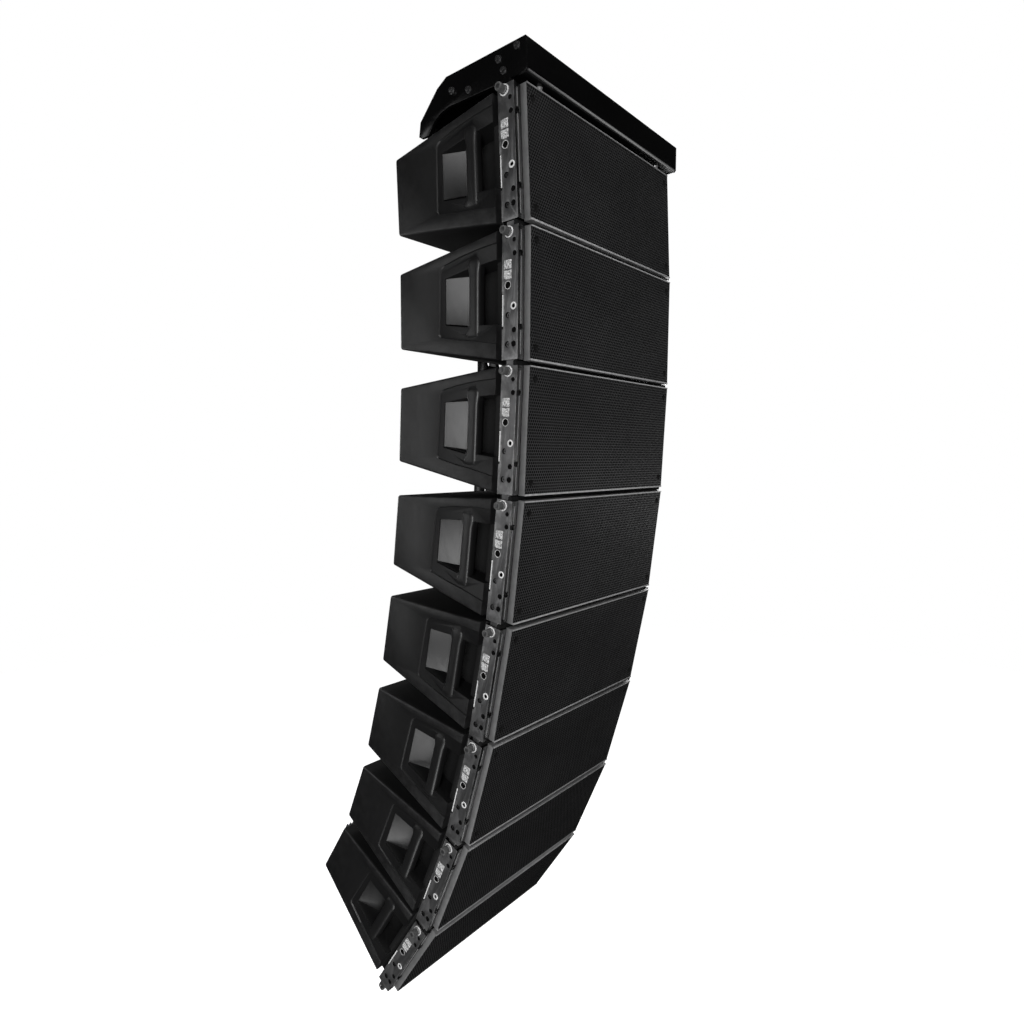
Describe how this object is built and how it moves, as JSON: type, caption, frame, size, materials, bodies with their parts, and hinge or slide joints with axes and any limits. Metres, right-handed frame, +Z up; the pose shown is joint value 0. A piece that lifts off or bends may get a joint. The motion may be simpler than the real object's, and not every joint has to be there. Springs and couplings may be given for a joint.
{
  "type": "line array speaker",
  "caption": "Flown line array: wedge-sided two-way loudspeaker modules hung in a J curve under a fly frame on pinned side rigging.",
  "frame": {"origin": "centre of the pick hole in the pick-up bar, from which the array hangs", "axes": "+X across the width, -Y the way the grilles face, +Z up"},
  "size_m": [0.748, 0.8062, 2.4634],
  "materials": {
    "frame_paint": "satin black powder coat",
    "cabinet_moulding": "fine-textured black moulding",
    "grille_steel": "black powder coat on perforated sheet",
    "rigging_steel": "dark grey coated steel, worn at edges",
    "link_steel": "dark coated steel",
    "pin_steel": "ground steel",
    "stud_steel": "bright zinc"
  },
  "bodies": {
    "root": {"fly_frame": "frame_paint", "pickup_bar": "frame_paint", "stop_stud_left": "stud_steel", "stop_stud_right": "stud_steel"},
    "module_1": {"cabinet_1": "cabinet_moulding", "grille_1": "grille_steel", "rig_left_1": "rigging_steel", "rig_right_1": "rigging_steel"},
    "rear_link_1": {"rear_link_1": "link_steel"},
    "pin_left_1": {"pin_left_1": "pin_steel"},
    "pin_right_1": {"pin_right_1": "pin_steel"},
    "module_2": {"cabinet_2": "cabinet_moulding", "grille_2": "grille_steel", "rig_left_2": "rigging_steel", "rig_right_2": "rigging_steel"},
    "rear_link_2": {"rear_link_2": "link_steel"},
    "pin_left_2": {"pin_left_2": "pin_steel"},
    "pin_right_2": {"pin_right_2": "pin_steel"},
    "module_3": {"cabinet_3": "cabinet_moulding", "grille_3": "grille_steel", "rig_left_3": "rigging_steel", "rig_right_3": "rigging_steel"},
    "rear_link_3": {"rear_link_3": "link_steel"},
    "pin_left_3": {"pin_left_3": "pin_steel"},
    "pin_right_3": {"pin_right_3": "pin_steel"},
    "module_4": {"cabinet_4": "cabinet_moulding", "grille_4": "grille_steel", "rig_left_4": "rigging_steel", "rig_right_4": "rigging_steel"},
    "rear_link_4": {"rear_link_4": "link_steel"},
    "pin_left_4": {"pin_left_4": "pin_steel"},
    "pin_right_4": {"pin_right_4": "pin_steel"},
    "module_5": {"cabinet_5": "cabinet_moulding", "grille_5": "grille_steel", "rig_left_5": "rigging_steel", "rig_right_5": "rigging_steel"},
    "rear_link_5": {"rear_link_5": "link_steel"},
    "pin_left_5": {"pin_left_5": "pin_steel"},
    "pin_right_5": {"pin_right_5": "pin_steel"},
    "module_6": {"cabinet_6": "cabinet_moulding", "grille_6": "grille_steel", "rig_left_6": "rigging_steel", "rig_right_6": "rigging_steel"},
    "rear_link_6": {"rear_link_6": "link_steel"},
    "pin_left_6": {"pin_left_6": "pin_steel"},
    "pin_right_6": {"pin_right_6": "pin_steel"},
    "module_7": {"cabinet_7": "cabinet_moulding", "grille_7": "grille_steel", "rig_left_7": "rigging_steel", "rig_right_7": "rigging_steel"},
    "rear_link_7": {"rear_link_7": "link_steel"},
    "pin_left_7": {"pin_left_7": "pin_steel"},
    "pin_right_7": {"pin_right_7": "pin_steel"},
    "module_8": {"cabinet_8": "cabinet_moulding", "grille_8": "grille_steel", "rig_left_8": "rigging_steel", "rig_right_8": "rigging_steel"},
    "rear_link_8": {"rear_link_8": "link_steel"},
    "pin_left_8": {"pin_left_8": "pin_steel"},
    "pin_right_8": {"pin_right_8": "pin_steel"}
  },
  "joints": [
    {"name": "splay_1", "type": "hinge", "parent": "root", "child": "module_1", "pos_m": [0, -0.24, -0.124], "axis": [1, 0, 0], "range_deg": [-5, 0]},
    {"name": "link_swing_1", "type": "hinge", "parent": "root", "child": "rear_link_1", "pos_m": [0, 0.135, -0.074], "axis": [1, 0, 0], "range_deg": [0, 95]},
    {"name": "pin_pull_left_1", "type": "slide", "parent": "module_1", "child": "pin_left_1", "axis": [-1, 0, 0], "range_m": [0, 0.03]},
    {"name": "pin_pull_right_1", "type": "slide", "parent": "module_1", "child": "pin_right_1", "axis": [1, 0, 0], "range_m": [0, 0.03]},
    {"name": "splay_2", "type": "hinge", "parent": "module_1", "child": "module_2", "pos_m": [0, -0.25309, -0.42371], "axis": [1, 0, 0], "range_deg": [-3, 7]},
    {"name": "link_swing_2", "type": "hinge", "parent": "module_1", "child": "rear_link_2", "pos_m": [0, 0.12605, -0.33717], "axis": [1, 0, 0], "range_deg": [0, 95]},
    {"name": "pin_pull_left_2", "type": "slide", "parent": "module_2", "child": "pin_left_2", "axis": [-1, 0, 0], "range_m": [0, 0.03]},
    {"name": "pin_pull_right_2", "type": "slide", "parent": "module_2", "child": "pin_right_2", "axis": [1, 0, 0], "range_m": [0, 0.03]},
    {"name": "splay_3", "type": "hinge", "parent": "module_2", "child": "module_3", "pos_m": [0, -0.25047, -0.7237], "axis": [1, 0, 0], "range_deg": [-2.5, 7.5]},
    {"name": "link_swing_3", "type": "hinge", "parent": "module_2", "child": "rear_link_3", "pos_m": [0, 0.12362, -0.61743], "axis": [1, 0, 0], "range_deg": [0, 95]},
    {"name": "pin_pull_left_3", "type": "slide", "parent": "module_3", "child": "pin_left_3", "axis": [-1, 0, 0], "range_m": [0, 0.03]},
    {"name": "pin_pull_right_3", "type": "slide", "parent": "module_3", "child": "pin_right_3", "axis": [1, 0, 0], "range_m": [0, 0.03]},
    {"name": "splay_4", "type": "hinge", "parent": "module_3", "child": "module_4", "pos_m": [0, -0.23477, -1.02329], "axis": [1, 0, 0], "range_deg": [-4, 6]},
    {"name": "link_swing_4", "type": "hinge", "parent": "module_3", "child": "rear_link_4", "pos_m": [0, 0.13433, -0.90081], "axis": [1, 0, 0], "range_deg": [0, 95]},
    {"name": "pin_pull_left_4", "type": "slide", "parent": "module_4", "child": "pin_left_4", "axis": [-1, 0, 0], "range_m": [0, 0.03]},
    {"name": "pin_pull_right_4", "type": "slide", "parent": "module_4", "child": "pin_right_4", "axis": [1, 0, 0], "range_m": [0, 0.03]},
    {"name": "splay_5", "type": "hinge", "parent": "module_4", "child": "module_5", "pos_m": [0, -0.19821, -1.32106], "axis": [1, 0, 0], "range_deg": [-4.5, 5.5]},
    {"name": "link_swing_5", "type": "hinge", "parent": "module_4", "child": "rear_link_5", "pos_m": [0, 0.16145, -1.17312], "axis": [1, 0, 0], "range_deg": [0, 95]},
    {"name": "pin_pull_left_5", "type": "slide", "parent": "module_5", "child": "pin_left_5", "axis": [-1, 0, 0], "range_m": [0, 0.03]},
    {"name": "pin_pull_right_5", "type": "slide", "parent": "module_5", "child": "pin_right_5", "axis": [1, 0, 0], "range_m": [0, 0.03]},
    {"name": "splay_6", "type": "hinge", "parent": "module_5", "child": "module_6", "pos_m": [0, -0.1384, -1.61503], "axis": [1, 0, 0], "range_deg": [-5, 5]},
    {"name": "link_swing_6", "type": "hinge", "parent": "module_5", "child": "rear_link_6", "pos_m": [0, 0.20854, -1.43934], "axis": [1, 0, 0], "range_deg": [0, 95]},
    {"name": "pin_pull_left_6", "type": "slide", "parent": "module_6", "child": "pin_left_6", "axis": [-1, 0, 0], "range_m": [0, 0.03]},
    {"name": "pin_pull_right_6", "type": "slide", "parent": "module_6", "child": "pin_right_6", "axis": [1, 0, 0], "range_m": [0, 0.03]},
    {"name": "splay_7", "type": "hinge", "parent": "module_6", "child": "module_7", "pos_m": [0, -0.05319, -1.90268], "axis": [1, 0, 0], "range_deg": [-7, 3]},
    {"name": "link_swing_7", "type": "hinge", "parent": "module_6", "child": "rear_link_7", "pos_m": [0, 0.27711, -1.69741], "axis": [1, 0, 0], "range_deg": [0, 95]},
    {"name": "pin_pull_left_7", "type": "slide", "parent": "module_7", "child": "pin_left_7", "axis": [-1, 0, 0], "range_m": [0, 0.03]},
    {"name": "pin_pull_right_7", "type": "slide", "parent": "module_7", "child": "pin_right_7", "axis": [1, 0, 0], "range_m": [0, 0.03]},
    {"name": "splay_8", "type": "hinge", "parent": "module_7", "child": "module_8", "pos_m": [0, 0.06643, -2.1778], "axis": [1, 0, 0], "range_deg": [-10, 0]},
    {"name": "link_swing_8", "type": "hinge", "parent": "module_7", "child": "rear_link_8", "pos_m": [0, 0.36926, -1.93381], "axis": [1, 0, 0], "range_deg": [0, 95]},
    {"name": "pin_pull_left_8", "type": "slide", "parent": "module_8", "child": "pin_left_8", "axis": [-1, 0, 0], "range_m": [0, 0.03]},
    {"name": "pin_pull_right_8", "type": "slide", "parent": "module_8", "child": "pin_right_8", "axis": [1, 0, 0], "range_m": [0, 0.03]}
  ]
}
